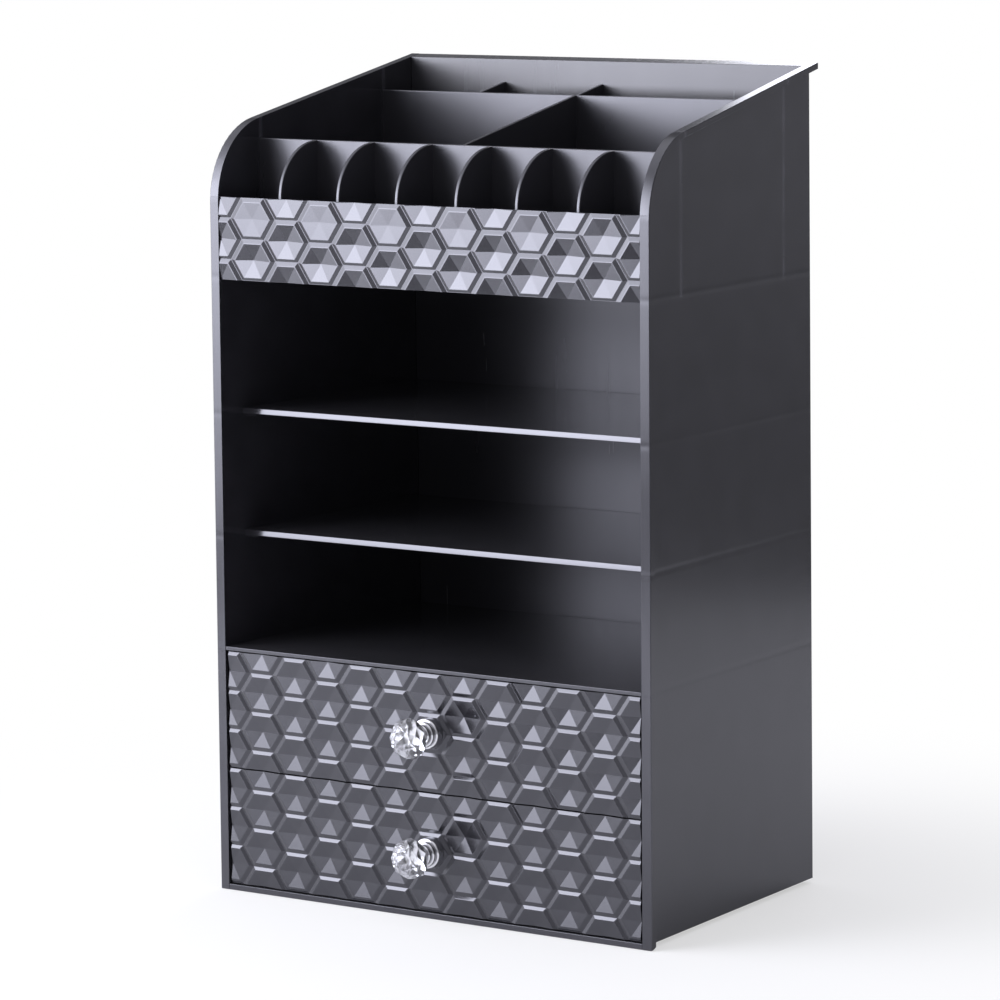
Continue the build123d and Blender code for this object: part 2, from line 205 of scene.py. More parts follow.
def soft_box(name, place, facing, size, radiance, edges):
    # edges holds, for across and up, where the glow starts, is full, starts to fall and ends,
    # each as a share of the size. The energy is the one at which the nodes give the radiance.
    data = bpy.data.lights.new(name, 'AREA')
    data.shape, data.size, data.size_y = 'RECTANGLE', size[0], size[1]
    data.energy = pi * size[0] * size[1]
    data.color = LAMP_TINT
    data.use_nodes = True
    tree = data.node_tree
    spot = split(tree, node(tree, "ShaderNodeNewGeometry").outputs["Parametric"])
    glow = radiance
    for axis, (start, full, fall, end) in zip("XY", edges):
        rise = smooth_step(tree, spot[axis], start, full)
        drop = smooth_step(tree, spot[axis], end, fall)
        glow = math_node(tree, 'MULTIPLY', math_node(tree, 'MULTIPLY', rise, drop), glow)
    tree.links.new(glow, tree.nodes["Emission"].inputs["Strength"])
    lamp = bpy.data.objects.new(name, data)
    bpy.context.scene.collection.objects.link(lamp)
    lamp.location = place
    lamp.rotation_euler = Vector(facing).to_track_quat('-Z', 'Y').to_euler()
    lamp.visible_camera = False
    print("lamp:", name)


soft_box("key_lamp", (-0.79, -1.22, 1.05), (0.985, 0.174, 0.0), size=(2.7, 2.1), radiance=10.3,
         edges=((0.0, 0.5, 0.5, 1.0), (-0.081, 0.238, 0.124, 0.971)))
soft_box("rear_lamp", (-0.185, 0.9, 0.78), (0.0, -1.0, -0.25), size=(0.57, 0.5), radiance=4.5,
         edges=((0.0, 0.25, 0.95, 1.0), (0.0, 0.3, 0.7, 1.0)))

# %% [markdown]
# The floor is a white disc that keeps the shadow of the box. Beyond the shadow it turns into
# pure white for the camera, so no edge of the disc shows. A large plane would do as well, but a
# disc also ends the white in the gloss of the sides, as a real sheet of paper does.

# %% Floor
FLOOR_RADIUS, FLOOR_DROP, FLOOR_WHITE = 1.0, 0.2 * MM, 0.55
FADE_START, FADE_END = 0.15, 0.5
bpy.ops.object.select_all(action='DESELECT')
bpy.ops.mesh.primitive_circle_add(vertices=96, radius=FLOOR_RADIUS, fill_type='NGON',
                                  location=(0, 0, -FLOOR_DROP))
floor = bpy.context.object
floor.name = "floor"
floor_material = bpy.data.materials.new("floor_white")
floor_material.use_nodes = True
tree = floor_material.node_tree
tree.nodes.clear()
length = node(tree, "ShaderNodeVectorMath", operation='LENGTH')
tree.links.new(node(tree, "ShaderNodeTexCoord").outputs["Object"], length.inputs[0])
far = smooth_step(tree, length.outputs["Value"], FADE_START, FADE_END)
far = math_node(tree, 'MULTIPLY_ADD', far, 1.0 - FLOOR_WHITE, FLOOR_WHITE)
fade = math_node(tree, 'MULTIPLY', far, node(tree, "ShaderNodeLightPath").outputs["Is Camera Ray"])
matte = node(tree, "ShaderNodeBsdfDiffuse", Color=(0.93, 0.93, 0.93, 1.0))
white = node(tree, "ShaderNodeEmission", Color=WHITE, Strength=1.0)
mix = node(tree, "ShaderNodeMixShader")
for slot, output in enumerate((fade, matte.outputs[0], white.outputs[0])):
    tree.links.new(output, mix.inputs[slot])
node(tree, "ShaderNodeOutputMaterial", Surface=mix.outputs[0])
floor.data.materials.append(floor_material)
floor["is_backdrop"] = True
print("floor radius", FLOOR_RADIUS)

# %% [markdown]
# ## Finishes
# All surfaces of the box come from one black plastic, moulded against polished steel. Such a
# skin is never a perfect mirror: it has long shallow waves from cooling, a fine orange peel and
# a very fine grain. These effects are shared, so each is a node group that is built once and
# placed in several materials with its own values.


# %% Node groups: how one is made
def new_group(name, inputs, outputs):
    group = bpy.data.node_groups.new(name, "ShaderNodeTree")
    for label, value in inputs:
        socket = group.interface.new_socket(label, in_out='INPUT', socket_type='NodeSocketFloat')
        socket.default_value = value
    for label in outputs:
        group.interface.new_socket(label, in_out='OUTPUT', socket_type='NodeSocketFloat')
    given, wanted = group.nodes.new("NodeGroupInput"), group.nodes.new("NodeGroupOutput")
    return group, given.outputs, wanted.inputs


def noise(tree, scale, detail, stretch=None):
    # Noise from -1 to 1 over the surface; scale counts features per metre.
    coordinates = node(tree, "ShaderNodeTexCoord").outputs["Object"]
    if stretch:
        coordinates = node(tree, "ShaderNodeMapping", Scale=stretch, Vector=coordinates).outputs[0]
    made = node(tree, "ShaderNodeTexNoise", Scale=scale, Detail=detail, Roughness=0.5,
                Vector=coordinates)
    return math_node(tree, 'MULTIPLY_ADD', made.outputs["Fac"], 2.0, -1.0)


# %% Node group: moulded skin
skin_group, given, wanted = new_group(
    "moulded_skin",
    (("Waves", 0.01), ("Peel", 0.0012), ("Grain", 0.0005), ("Roughness", 0.2), ("Spread", 0.02)),
    ("Height", "Roughness", "Shade"))
height = 0.0
for label, scale, detail in (("Waves", 14.0, 1.0), ("Peel", 520.0, 2.0), ("Grain", 2600.0, 1.0)):
    height = math_node(skin_group, 'MULTIPLY_ADD', noise(skin_group, scale, detail), given[label],
                       height)
cloud = noise(skin_group, 28.0, 4.0)
rough = math_node(skin_group, 'MULTIPLY_ADD', cloud, given["Spread"], given["Roughness"])
shade = math_node(skin_group, 'MULTIPLY_ADD', cloud, 0.1, 1.0)
for label, value in (("Height", height), ("Roughness", rough), ("Shade", shade)):
    skin_group.links.new(value, wanted[label])
print("moulded_skin:", len(skin_group.nodes), "nodes")

# %% [markdown]
# Handled edges of glossy plastic turn a little dull and pale. The pale edge colour also stands
# in for the thin line of light that a rounded edge catches, so it is partly wear and partly a
# painted edge highlight. The Bevel node gives the normal that a rounded edge would have, and
# where that differs from the true normal there is an edge. Painting the wear by hand would
# follow the surface too, but this finds every edge by itself.

# %% Node group: edge wear and painted edge highlight
wear_and_highlight_group, given, wanted = new_group("edge_wear_and_highlight", (("Width", 0.0006), ("Amount", 0.5)), ("Mask",))
rounded = node(wear_and_highlight_group, "ShaderNodeBevel", samples=4, Radius=given["Width"])
match = node(wear_and_highlight_group, "ShaderNodeVectorMath", operation='DOT_PRODUCT')
wear_and_highlight_group.links.new(rounded.outputs[0], match.inputs[0])
wear_and_highlight_group.links.new(node(wear_and_highlight_group, "ShaderNodeNewGeometry").outputs["Normal"], match.inputs[1])
edge = smooth_step(wear_and_highlight_group, match.outputs["Value"], 0.995, 0.9)
patchy = math_node(wear_and_highlight_group, 'MULTIPLY_ADD', noise(wear_and_highlight_group, 180.0, 3.0), 0.5, 0.5)
worn_and_lit_edge = math_node(wear_and_highlight_group, 'MULTIPLY', edge, patchy)
wear_and_highlight_group.links.new(math_node(wear_and_highlight_group, 'MULTIPLY', worn_and_lit_edge, given["Amount"]), wanted["Mask"])
print("edge_wear_and_highlight:", len(wear_and_highlight_group.nodes), "nodes")

# %% [markdown]
# A little dust lies on what faces up, thicker in some spots. Its mask comes from the height of
# the normal, mixed with a soft noise and a few fine specks.

# %% Node group: dust
dust_group, given, wanted = new_group("dust", (("Amount", 0.05),), ("Mask",))
facing = split(dust_group, node(dust_group, "ShaderNodeNewGeometry").outputs["Normal"])
level = smooth_step(dust_group, facing["Z"], 0.5, 0.98)
soft = math_node(dust_group, 'MULTIPLY_ADD', noise(dust_group, 40.0, 4.0), 0.35, 0.5)
specks = smooth_step(dust_group, noise(dust_group, 900.0, 1.0), 0.42, 0.6)
amount = math_node(dust_group, 'MULTIPLY', math_node(dust_group, 'ADD', soft, specks), level)
amount = math_node(dust_group, 'MULTIPLY', amount, given["Amount"], clamp=True)
dust_group.links.new(amount, wanted["Mask"])
print("dust:", len(dust_group.nodes), "nodes")

# %% [markdown]
# Behind each rib the outside of a moulded wall sinks in by a few hundredths of a millimetre. It
# is too shallow to model but the gloss shows it, so it goes into the bump: one group draws a
# single soft line across a coordinate, and a wall gets as many of them as it has ribs. Behind an
# upright rib of the side walls the same line also makes the colour lighter: a painted highlight
# for the light line that the sunk gloss shows there.

# %% Node group: sink line
sink_group, given, wanted = new_group(
    "sink_line", (("Across", 0.0), ("Place", 0.0), ("Width", 0.0015), ("Depth", 0.01)), ("Height",))
away = math_node(sink_group, 'SUBTRACT', given["Across"], given["Place"])
away = math_node(sink_group, 'DIVIDE', away, given["Width"])
squared = math_node(sink_group, 'MULTIPLY', away, away)
bell = math_node(sink_group, 'EXPONENT', math_node(sink_group, 'MULTIPLY', squared, -1.0))
inwards = math_node(sink_group, 'MULTIPLY', given["Depth"], -1.0)
sink_group.links.new(math_node(sink_group, 'MULTIPLY', bell, inwards), wanted["Height"])
print("sink_line:", len(sink_group.nodes), "nodes")

# %% [markdown]
# The materials share a few helpers too. The black plastic is written once, and each part of the
# box gets it with its own gloss, waves, dust, and edge wear with a painted edge highlight.


# %% Materials: what they share
def use_group(tree, group, **values):
    made = tree.nodes.new("ShaderNodeGroup")
    made.node_tree = group
    for name, value in values.items():
        feed(tree, made.inputs[name], value)
    return made.outputs


def new_material(name):
    material = bpy.data.materials.new(name)
    material.use_nodes = True
    return material, material.node_tree, material.node_tree.nodes["Principled BSDF"].inputs


def mix_colour(tree, share, low, high):
    made = node(tree, "ShaderNodeMix", data_type='RGBA')
    for slot, value in ((0, share), (6, low), (7, high)):
        feed(tree, made.inputs[slot], (*value, 1.0) if isinstance(value, tuple) else value)
    return made.outputs[2]


def bump(tree, height, target):
    # Heights are in millimetres.
    made = node(tree, "ShaderNodeBump", Distance=MM, Strength=1.0, Height=height)
    tree.links.new(made.outputs[0], target)


# How much the sink line of an upright rib lightens the colour: a painted highlight.
RIB_HIGHLIGHT_PAINT = 1.8
WORN_DULLER, DUST_DULLER, STREAKS_DULLER = 0.15, 0.5, 0.03
DUST_GREY, GLOSS_TINT = (0.45, 0.45, 0.46), (0.92, 0.925, 1.0, 1.0)
COAT_ROUGHNESS, COAT_FADE = 0.36, 30.0 * MM


def plastic(name, colour, roughness, waves=0.012, peel=0.0012, wear_and_highlight=0.35, dust=0.05, streaks=0.0,
            mottle=0.1, sinks=(), gloss_above=None):
    # sinks lists (axis, place in metres, depth in mm, from and to on Z), and a line that goes
    # from 0 to 0 has no ends. Above the height gloss_above a soft coat is laid over the skin.
    material, tree, shader = new_material(name)
    skin = use_group(tree, skin_group, Waves=waves, Peel=peel, Roughness=roughness)
    worn_and_lit_edge = use_group(tree, wear_and_highlight_group, Amount=wear_and_highlight)["Mask"]
    dusty = use_group(tree, dust_group, Amount=dust)["Mask"]
    if sinks or gloss_above:
        place = split(tree, node(tree, "ShaderNodeTexCoord").outputs["Object"])
    height, rib_highlight_paint = skin["Height"], 1.0
    for axis, at, depth, low, high in sinks:
        line = use_group(tree, sink_group, Across=place[axis], Place=at, Depth=depth)["Height"]
        if high > low:
            inside = math_node(tree, 'MULTIPLY', smooth_step(tree, place["Z"], low - MM, low + MM),
                               smooth_step(tree, place["Z"], high + MM, high - MM))
            line = math_node(tree, 'MULTIPLY', line, inside)
        height = math_node(tree, 'ADD', height, line)
        # Along upright ribs the sink line also lightens the colour, which is a painted highlight.
        if axis == "Y":
            rib_highlight_paint = math_node(tree, 'MULTIPLY_ADD', line, -RIB_HIGHLIGHT_PAINT / depth, rib_highlight_paint)
    bump(tree, height, shader["Normal"])
    mottle_and_rib_highlight = math_node(tree, 'MULTIPLY_ADD', noise(tree, 60.0, 5.0), mottle, 1.0)
    mottle_and_rib_highlight = math_node(tree, 'MULTIPLY', mottle_and_rib_highlight, rib_highlight_paint)
    mottle_and_rib_highlight = math_node(tree, 'MULTIPLY', mottle_and_rib_highlight, skin["Shade"])
    # Edges get a paler colour, which is partly wear and partly a painted edge highlight.
    pale = tuple(3.0 * c + 0.02 for c in colour)
    tone = mix_colour(tree, worn_and_lit_edge, scaled(tree, colour, mottle_and_rib_highlight), pale)
    tree.links.new(mix_colour(tree, dusty, tone, DUST_GREY), shader["Base Color"])
    rough = math_node(tree, 'MULTIPLY_ADD', worn_and_lit_edge, WORN_DULLER, skin["Roughness"])
    if streaks:
        flow = noise(tree, 260.0, 3.0, stretch=(1.0, 1.0, 0.06))
        rough = math_node(tree, 'MULTIPLY_ADD', flow, STREAKS_DULLER * streaks, rough)
    rough = math_node(tree, 'MULTIPLY_ADD', dusty, DUST_DULLER, rough, clamp=True)
    tree.links.new(rough, shader["Roughness"])
    shader["IOR"].default_value = 1.5
    shader["Specular IOR Level"].default_value = 0.5 if gloss_above else 1.0
    shader["Specular Tint"].default_value = GLOSS_TINT
    if gloss_above:
        upper = smooth_step(tree, place["Z"], gloss_above - COAT_FADE, gloss_above + COAT_FADE)
        tree.links.new(upper, shader["Coat Weight"])
        shader["Coat Roughness"].default_value = COAT_ROUGHNESS
    return material


# %% [markdown]
# The box and its inside have the same black, and the relief panels a darker one. The inside and
# the rear wall are duller than the rest, and the rear wall gets a soft coat above the tray. The
# side panels and the rear wall also get the sink lines of the ribs behind them.


# %% Materials: black plastics
def centre_of(node_name, axis):
    low, high = (corner["XYZ".index(axis)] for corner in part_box(node_name))
    return (low + high) / 2


def sinks_at(plates, axis, depth, low=0, high=0):
    return [(axis, centre_of(node_name, axis), depth, low, high) for node_name in plates]


BLACK, RELIEF_BLACK = (0.020, 0.0196, 0.0230), (0.010, 0.0098, 0.012)
tray_z, rim_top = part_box("tray_floor")[0].z, cad_box[1].z
level_sinks = sinks_at(("bay_floor", "lower_shelf", "upper_shelf", "tray_floor"), "Z", 0.035)
wall_sinks = sinks_at(("front_partition", "rear_partition"), "Y", 0.03, tray_z, rim_top)
back_sinks = sinks_at(("rear_divider_1", "rear_divider_2"), "X", 0.012, tray_z, rim_top)
body_plastic = plastic("box_black", BLACK, 0.15)
wall_plastic = plastic("box_black_walls", BLACK, 0.17, waves=0.03, peel=0.0018, streaks=0.6,
                       mottle=0.6, sinks=wall_sinks + level_sinks)
inside_plastic = plastic("box_black_inside", BLACK, 0.29, wear_and_highlight=1.0, streaks=1.0)
back_plastic = plastic("box_black_back", BLACK, 0.26, streaks=1.0, gloss_above=tray_z,
                       sinks=back_sinks + level_sinks)
relief_plastic = plastic("box_black_relief", RELIEF_BLACK, 0.18, waves=0.03, peel=0.0016,
                         wear_and_highlight=0.6, dust=0.04)
print("plastics:", body_plastic.name, wall_plastic.name, inside_plastic.name,
      back_plastic.name, relief_plastic.name)

# %% [markdown]
# The knob rings are chromed. A lathe leaves fine rings around the axis, which a noise stretched
# across the axis gives without any picture. The steel screws inside get the same marks, coarser
# and duller.


# %% Materials: metals
def metal(name, colour, roughness, marks, depth):
    material, tree, shader = new_material(name)
    shader["Metallic"].default_value = 1.0
    turned = noise(tree, marks, 2.0, stretch=(0.02, 1.0, 0.02))
    cloud = noise(tree, 90.0, 3.0)
    shade = scaled(tree, colour, math_node(tree, 'MULTIPLY_ADD', cloud, 0.04, 0.97))
    tree.links.new(shade, shader["Base Color"])
    rough = math_node(tree, 'MULTIPLY_ADD', cloud, roughness * 0.4, roughness)
    rough = math_node(tree, 'MULTIPLY_ADD', turned, roughness * 0.3, rough)
    tree.links.new(rough, shader["Roughness"])
    bump(tree, math_node(tree, 'MULTIPLY', turned, depth), shader["Normal"])
    return material


chrome = metal("knob_chrome", (0.72, 0.72, 0.74), 0.05, 6000.0, 0.0003)
steel = metal("screw_steel", (0.62, 0.61, 0.60), 0.28, 3500.0, 0.002)
print("metals:", chrome.name, steel.name)

# %% [markdown]
# The crystals are clear cut glass with silvered rear facets, which is why they look bright in
# front of a black drawer. The glass is a transmission shader with a very faint polish pattern,
# and the silvering is a soft mirror on the rear facets alone.

# %% Materials: cut crystal
GLASS, SILVER_DULL, SILVER_BRIGHT = (0.985, 0.99, 1.0, 1.0), (0.74, 0.74, 0.76), (0.86, 0.86, 0.88)
crystal, tree, shader = new_material("cut_crystal")
shader["Base Color"].default_value = GLASS
shader["Transmission Weight"].default_value = 1.0
shader["IOR"].default_value = 1.55
polish = noise(tree, 400.0, 2.0)
tree.links.new(math_node(tree, 'MULTIPLY_ADD', polish, 0.008, 0.036), shader["Roughness"])
bump(tree, math_node(tree, 'MULTIPLY', polish, 0.0004), shader["Normal"])
silver, tree, shader = new_material("crystal_silvering")
shader["Metallic"].default_value = 1.0
cloud = noise(tree, 300.0, 3.0)
share = math_node(tree, 'MULTIPLY_ADD', cloud, 0.5, 0.5)
tree.links.new(mix_colour(tree, share, SILVER_DULL, SILVER_BRIGHT), shader["Base Color"])
tree.links.new(math_node(tree, 'MULTIPLY_ADD', cloud, 0.05, 0.16), shader["Roughness"])
print("crystal:", crystal.name, silver.name)

# %% [markdown]
# ## Modelling helpers
# Every new piece is modelled as by hand: a primitive is added at its size and place, shaped in
# edit mode, and finished with modifiers. An operator works on everything that is selected, so
# these helpers first clear the selection and then pick corners, edges or faces by their place.

# %% Modelling helpers
SHARP_ANGLE = radians(35.0)


def choose(piece):
    bpy.ops.object.select_all(action='DESELECT')
    piece.select_set(True)
    bpy.context.view_layer.objects.active = piece


def edit(piece):
    # Opens one piece in edit mode with nothing selected.
    choose(piece)
    bpy.ops.object.mode_set(mode='EDIT')
    bpy.ops.mesh.select_all(action='DESELECT')


def close():
    bpy.ops.object.mode_set(mode='OBJECT')


def middle(item):
    corners = [item.co] if isinstance(item, bmesh.types.BMVert) else [v.co for v in item.verts]
    return sum(corners, Vector()) / len(corners)


def pick(kind, test):
    # Selects the corners, edges or faces of the open piece that pass the test.
    bpy.ops.mesh.select_mode(type=kind)
    bpy.ops.mesh.select_all(action='DESELECT')
    mesh = bmesh.from_edit_mesh(bpy.context.object.data)
    items = {'VERT': mesh.verts, 'EDGE': mesh.edges, 'FACE': mesh.faces}[kind]
    for item in items:
        if test(item):
            item.select_set(True)
    bmesh.update_edit_mesh(bpy.context.object.data)


def bisect(place, normal, **settings):
    # Cuts the whole of the open piece along a plane.
    bpy.ops.mesh.select_all(action='SELECT')
    bpy.ops.mesh.bisect(plane_co=place, plane_no=normal, **settings)


def extrude(x, y, z):
    bpy.ops.mesh.extrude_region_move(TRANSFORM_OT_translate={"value": (x, y, z)})


def tidy_mesh():
    # Merges what lies together, and turns all faces outwards.
    bpy.ops.mesh.select_all(action='SELECT')
    bpy.ops.mesh.remove_doubles(threshold=VERY_NEAR)
    bpy.ops.mesh.normals_make_consistent(inside=False)


def apply_place():
    bpy.ops.object.transform_apply(location=True, rotation=True, scale=True)


def new_cube(name, low, high):
    bpy.ops.object.select_all(action='DESELECT')
    bpy.ops.mesh.primitive_cube_add(size=1.0, location=[(a + b) / 2 for a, b in zip(low, high)])
    piece = bpy.context.object
    piece.name = piece.data.name = name
    piece.scale = [b - a for a, b in zip(low, high)]
    apply_place()
    return piece


def new_circle(name, sides, radius, place, rotation, fill='NGON'):
    bpy.ops.object.select_all(action='DESELECT')
    bpy.ops.mesh.primitive_circle_add(vertices=sides, radius=radius, fill_type=fill,
                                      location=place, rotation=rotation)
    piece = bpy.context.object
    piece.name = piece.data.name = name
    apply_place()
    return piece


def apply_modifier(piece, kind, **settings):
    modifier = piece.modifiers.new(kind.lower(), kind)
    for key, value in settings.items():
        setattr(modifier, key, value)
    bpy.context.view_layer.objects.active = piece
    bpy.ops.object.modifier_apply(modifier=modifier.name)


def soften(piece, width, segments=2, smooth=40.0):
    # Rounds the sharp edges, and lets the large flat faces keep their flat shading.
    if width:
        apply_modifier(piece, 'BEVEL', width=width, segments=segments, limit_method='ANGLE',
                       angle_limit=SHARP_ANGLE, use_clamp_overlap=True, miter_outer='MITER_ARC')
    choose(piece)
    bpy.ops.object.shade_smooth_by_angle(angle=radians(smooth))
    apply_modifier(piece, 'WEIGHTED_NORMAL', weight=80, keep_sharp=True)


def finish(piece, node_name, body, slot, *materials):
    # The piece stands for its node, moves with its body and gets its finish.
    piece.data.materials.clear()
    for material in materials:
        piece.data.materials.append(material)
    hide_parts(node_name)
    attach(piece, body)
    print(piece.name, len(piece.data.polygons), "faces")


# %% [markdown]
# ## Shell of the box
# The two side panels carry a front rail, a sloped rim with a rounded shoulder and the ledges for
# the plates. Their shape is right in the engineering model, so a copy of each is merged, its flat
# areas are joined into single faces, and its sharp edges are rounded by a fifth of a millimetre.
# The rear wall, the base, the drawer trays and the screws are made the same way. The ledge under
# the tray would show below the relief strip, so its front end is moved back. The wall is cut
# level below it first, because an edge that runs from the ledge to a far corner would be dragged
# across the other ledges and fold the face over itself.

# %% Softened copies
LEDGE_BACK = 19.0 * MM
LEDGE_CUT = 290.0 * MM
SIDE_TAPER = tan(radians(2.0))
ONE_PLANE = radians(0.2)


def softened_copy(node_name, width, level_cut=None):
    piece = bpy.data.objects.new(node_name + "_soft", nodes[node_name].data.copy())
    bpy.context.scene.collection.objects.link(piece)
    edit(piece)
    tidy_mesh()
    bpy.ops.mesh.dissolve_limited(angle_limit=ONE_PLANE)
    if level_cut:
        bisect((0.0, 0.0, level_cut), (0.0, 0.0, 1.0))
    close()
    bpy.ops.mesh.customdata_custom_splitnormals_clear()
    soften(piece, width)
    return piece


def at_ledge_end(corner):
    # The ledge lies right under the tray floor and starts 3 mm behind the fascia's face.
    behind, above = corner.co.y - front_y, corner.co.z - tray_z
    return 2.0 * MM < behind < 4.0 * MM and -3.0 * MM < above < MM


for node_name, inwards in (("left_side_panel", SIDE_TAPER), ("right_side_panel", -SIDE_TAPER)):
    panel = softened_copy(node_name, 0.2 * MM, level_cut=LEDGE_CUT)
    edit(panel)
    pick('VERT', at_ledge_end)
    bpy.ops.transform.translate(value=(inwards * LEDGE_BACK, LEDGE_BACK, 0.0))
    close()
    finish(panel, node_name, "cabinet", "black_plastic", wall_plastic)
for node_name, width, material in (("back_panel", 0.25 * MM, back_plastic),
                                   ("bottom_panel", 0.2 * MM, body_plastic)):
    finish(softened_copy(node_name, width), node_name, "cabinet", "black_plastic", material)
for drawer in ("lower_drawer", "upper_drawer"):
    tray, screw = drawer + "_tray", drawer + "_knob_screw"
    finish(softened_copy(tray, 0.2 * MM), tray, drawer, "black_plastic", body_plastic)
    finish(softened_copy(screw, 0.12 * MM), screw, drawer, "steel", steel)

# %% [markdown]
# ## Plates and partitions
# The floors, shelves and partitions span from wall to wall, and the box narrows towards its
# back by two degrees on each side. Each starts as a cube of its size. Its rear face is then
# picked and made narrower, and its edges are rounded. The shelves' front edges lean back by eight
# degrees, and the tops of the partitions get a rounder edge. An array of planes would be quicker
# but would show no thickness.

# %% Plates and partitions
SHELF_LEAN = tan(radians(8.0))


def board(node_name, edge, material, front_lean=0.0, top_edge=0.0):
    low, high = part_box(node_name)
    piece = new_cube(node_name + "_board", low, high)
    edit(piece)
    pick('FACE', lambda f: f.normal.y > 0.9)
    narrower = 1.0 - SIDE_TAPER * (high.y - low.y) / high.x
    bpy.ops.transform.resize(value=(narrower, 1.0, 1.0), center_override=(0.0, high.y, 0.0))
    if front_lean:
        pick('EDGE', lambda e: middle(e).y < low.y + MM and abs(middle(e).z - high.z) < NEAR)
        bpy.ops.transform.translate(value=(0.0, front_lean * (high.z - low.z), 0.0))
    if top_edge:
        pick('EDGE', lambda e: abs(middle(e).z - high.z) < NEAR and abs(middle(e).x) < MM)
        bpy.ops.mesh.bevel(offset=top_edge, segments=4, affect='EDGES')
    close()
    soften(piece, edge, segments=3)
    finish(piece, node_name, "cabinet", "black_plastic", material)


board("bay_floor", 0.2 * MM, body_plastic)
board("tray_floor", 0.2 * MM, inside_plastic)
for node_name in ("lower_shelf", "upper_shelf"):
    board(node_name, 0.25 * MM, body_plastic, front_lean=SHELF_LEAN)
for node_name in ("front_partition", "rear_partition"):
    board(node_name, 0.1 * MM, inside_plastic, top_edge=0.4 * MM)

# %% [markdown]
# Behind the front partition the tray is split by three uprights whose tops follow the slope.
# Each is a cube whose front top edge is picked and lowered to the partition in front of it.


# %% Sloped dividers
def sloped_divider(node_name, front_top):
    low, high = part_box(node_name)
    piece = new_cube(node_name + "_board", low, high)
    edit(piece)
    pick('EDGE', lambda e: middle(e).y < low.y + NEAR and abs(middle(e).z - high.z) < NEAR)
    bpy.ops.transform.translate(value=(0.0, 0.0, front_top - high.z))
    halfway = (low.y + high.y) / 2
    pick('EDGE', lambda e: abs(middle(e).y - halfway) < NEAR and middle(e).z > front_top)
    bpy.ops.mesh.bevel(offset=0.35 * MM, segments=4, affect='EDGES')
    close()
    soften(piece, 0.0)
    finish(piece, node_name, "cabinet", "black_plastic", inside_plastic)


sloped_divider("mid_divider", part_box("front_partition")[1].z)
for node_name in ("rear_divider_1", "rear_divider_2"):
    sloped_divider(node_name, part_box("rear_partition")[1].z)

# %% [markdown]
# The six fins of the lipstick slots rise in a quarter ellipse from the fascia to the partition.
# A disc is stretched to the ellipse and cut twice, so that one quarter is left. Its straight
# lower edge is extruded down to the tray, the sheet gets its thickness, and the curved rim is
# rounded. One fin is modelled, and copies of it are set at the six places.

# %% Lipstick fins
fin_nodes = [name for name in nodes if name.startswith("lipstick_divider")]
low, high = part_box(fin_nodes[0])
fin_x, fin_foot = centre_of(fin_nodes[0], "X"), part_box("fascia_panel")[1].z
corner = (fin_x, high.y, fin_foot)
fin = new_circle("fin", 128, 1.0, corner, (0.0, pi / 2, 0.0))
edit(fin)
bpy.ops.mesh.select_all(action='SELECT')
bpy.ops.transform.resize(value=(1.0, high.y - low.y, high.z - fin_foot), center_override=corner)
bisect(corner, (0.0, 0.0, 1.0), clear_inner=True)
bisect(corner, (0.0, 1.0, 0.0), clear_outer=True)
pick('EDGE', lambda e: all(abs(v.co.z - fin_foot) < VERY_NEAR for v in e.verts))
extrude(0.0, 0.0, low.z - fin_foot)
close()
apply_modifier(fin, 'SOLIDIFY', thickness=high.x - low.x, offset=0.0)


def on_fin_rim(edge):
    spot = middle(edge)
    on_side = abs(abs(spot.x - fin_x) - (high.x - low.x) / 2) < VERY_NEAR
    on_curve = spot.z > fin_foot + NEAR and spot.y < high.y - NEAR
    return on_side and on_curve and edge.calc_face_angle(0.0) > 1.0


edit(fin)
tidy_mesh()
pick('EDGE', on_fin_rim)
bpy.ops.mesh.bevel(offset=0.4 * MM, segments=3, affect='EDGES')
close()
for node_name in fin_nodes:
    piece = bpy.data.objects.new(node_name + "_fin", fin.data.copy())
    piece.data.name = piece.name
    bpy.context.scene.collection.objects.link(piece)
    piece.data.transform(Matrix.Translation((centre_of(node_name, "X") - fin_x, 0.0, 0.0)))
    soften(piece, 0.0)
    finish(piece, node_name, "cabinet", "black_plastic", inside_plastic)
bpy.data.objects.remove(fin)

# %% [markdown]
# ## Relief panels
# The drawer fronts and the strip under the tray carry the same relief: six-sided cells with
# bevelled borders and a sunk pyramid of six facets in each. It could be sculpted or made from a
# height picture, but the facets must be dead flat to mirror cleanly. So one cell is modelled as a
# disc with six corners that is inset to its raised crest, poked to six triangles and sunk in the
# middle, with the crest edges rounded by about a quarter of a millimetre.

# %% One cell
COLUMNS = 12
GROOVE, GROOVE_FLOOR = 0.75 * MM, 0.16 * MM
CREST_EDGE, CREST_CORNER, CREST_ROUND = 1.7 * MM, 2.6 * MM, 0.28 * MM
ORIGIN = (0.0, 0.0, 0.0)


